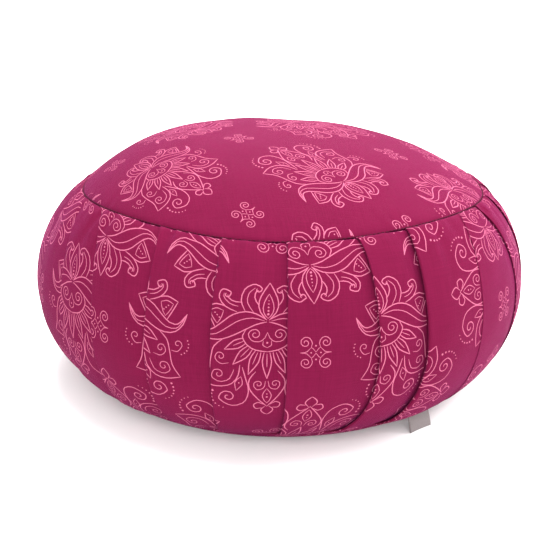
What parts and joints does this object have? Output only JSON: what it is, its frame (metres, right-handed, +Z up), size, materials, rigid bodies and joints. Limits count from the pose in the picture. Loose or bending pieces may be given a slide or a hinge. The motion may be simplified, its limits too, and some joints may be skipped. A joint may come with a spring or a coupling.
{
  "type": "zafu meditation cushion",
  "caption": "Round filled floor cushion with a domed top panel, a side band of knife pleats, a flat foot and a small bare tab in the bottom seam.",
  "frame": {"origin": "middle of the flat foot, on the surface that the cushion rests on", "axes": "+Z up through the cushion; -Y is the front, where the label is a little to the right; +X to the right as seen from the front"},
  "size_m": [0.3589, 0.3598, 0.181],
  "materials": {
    "printed_cotton": "matt cotton in deep raspberry, printed with fine lighter pink line flowers",
    "label_tape": "taupe woven tape"
  },
  "bodies": {
    "root": {"side_band": "printed_cotton", "top_panel": "printed_cotton", "bottom_panel": "printed_cotton", "label": "label_tape"}
  },
  "joints": []
}
